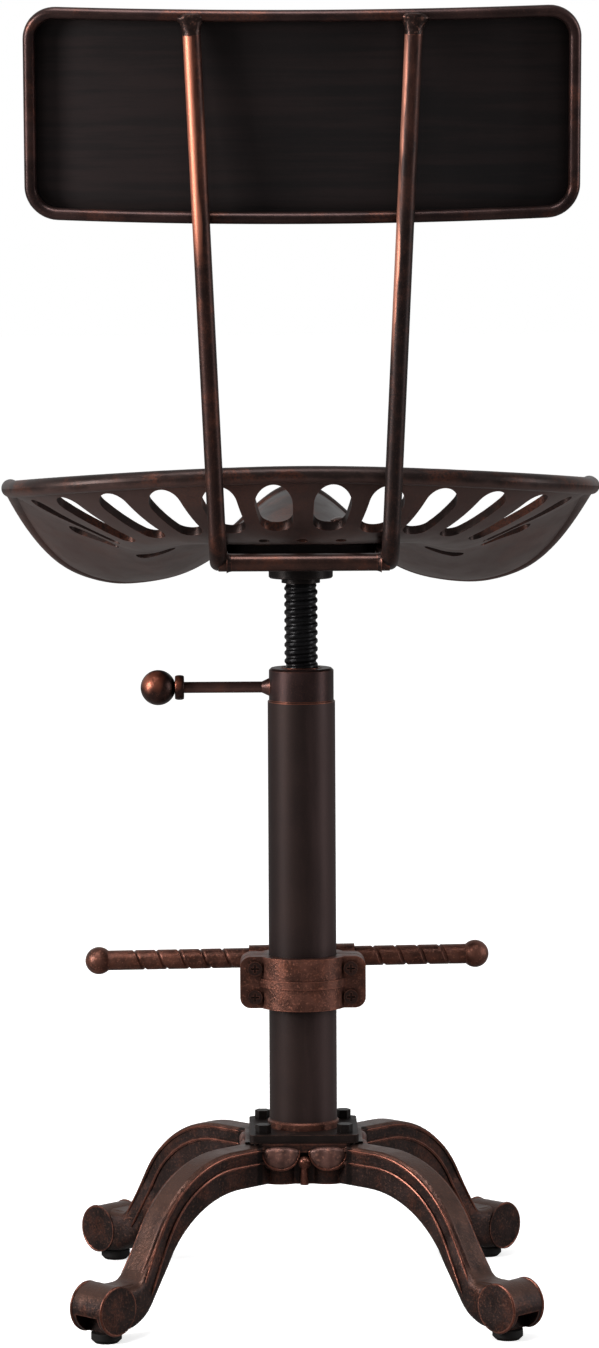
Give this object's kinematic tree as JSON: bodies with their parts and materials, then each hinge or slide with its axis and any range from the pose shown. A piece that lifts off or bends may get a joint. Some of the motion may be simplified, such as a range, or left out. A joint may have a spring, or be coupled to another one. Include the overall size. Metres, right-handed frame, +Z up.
{
  "type": "tractor seat stool",
  "caption": "Swivelling metal stool with a slotted bucket seat and a curved backrest on a height screw, a clamped footrest bar and a cast base on scrolled legs.",
  "frame": {"origin": "on the column's axis, at the floor on which the glides stand", "axes": "+Z up along the column; the backrest is at +Y and the sitter faces -Y; the lock lever points to +X"},
  "size_m": [0.4419, 0.4226, 0.9471],
  "materials": {
    "cast_bronze": "antiqued copper over black",
    "brown_steel": "satin dark brown",
    "column_brown": "satin dark brown",
    "copper_rod": "rubbed copper over brown",
    "seat_bronze": "antiqued copper, smooth",
    "panel_dark": "brushed near-black brown",
    "black_steel": "satin black",
    "black_screw": "oiled black",
    "bolt_zinc": "darkened zinc",
    "bearing_steel": "polished",
    "black_rubber": "matte"
  },
  "bodies": {
    "base": {"base_casting": "cast_bronze", "base_plate": "brown_steel", "base_bolts": "black_steel", "foot_glides": "black_rubber", "glide_studs": "black_steel", "column_foot_ring": "brown_steel", "column_tube": "column_brown", "column_nut": "black_steel"},
    "lock": {"lock_collar": "brown_steel", "lever_rod": "copper_rod", "lever_ring": "copper_rod", "lever_ball": "copper_rod"},
    "guide": {"screw_guide": "black_steel"},
    "screw": {"height_screw": "black_screw", "screw_retainer": "black_steel", "screw_flange": "black_steel", "swivel_lower_plate": "black_steel", "ball_cage": "black_steel", "swivel_balls": "bearing_steel"},
    "seat": {"swivel_upper_plate": "black_steel", "swivel_rivet": "black_steel", "seat_pan": "seat_bronze", "back_mount_plate": "black_steel", "seat_bolts": "bolt_zinc", "seat_nuts": "bolt_zinc", "back_rod_left": "copper_rod", "back_rod_right": "copper_rod", "back_cross_rod": "copper_rod", "backrest_panel": "panel_dark", "backrest_rim": "copper_rod"},
    "footrest": {"clamp_rear_half": "cast_bronze", "clamp_front_half": "cast_bronze", "clamp_screws": "bolt_zinc", "clamp_nuts": "bolt_zinc", "footrest_bar": "cast_bronze", "footrest_ball_left": "cast_bronze", "footrest_ball_right": "cast_bronze"}
  },
  "joints": [
    {"name": "lock_turn", "type": "hinge", "parent": "base", "child": "lock", "pos_m": [0, 0, 0.4539], "axis": [0, 0, 1], "range_deg": [0, 120]},
    {"name": "screw_lift", "type": "slide", "parent": "base", "child": "guide", "axis": [0, 0, 1], "range_m": [-0.06, 0.09]},
    {"name": "screw_turn", "type": "hinge", "parent": "guide", "child": "screw", "pos_m": [0, 0, 0.5], "axis": [0, 0, 1], "range_deg": [-3600, 5400]},
    {"name": "seat_swivel", "type": "hinge", "parent": "screw", "child": "seat", "pos_m": [0, 0, 0.549], "axis": [0, 0, 1], "continuous": true},
    {"name": "footrest_slide", "type": "slide", "parent": "base", "child": "footrest", "axis": [0, 0, 1], "range_m": [-0.08, 0.18]}
  ],
  "couplings": [
    {"joint": "screw_lift", "follows": "screw_turn", "m_per_rad": 0.00095493}
  ]
}
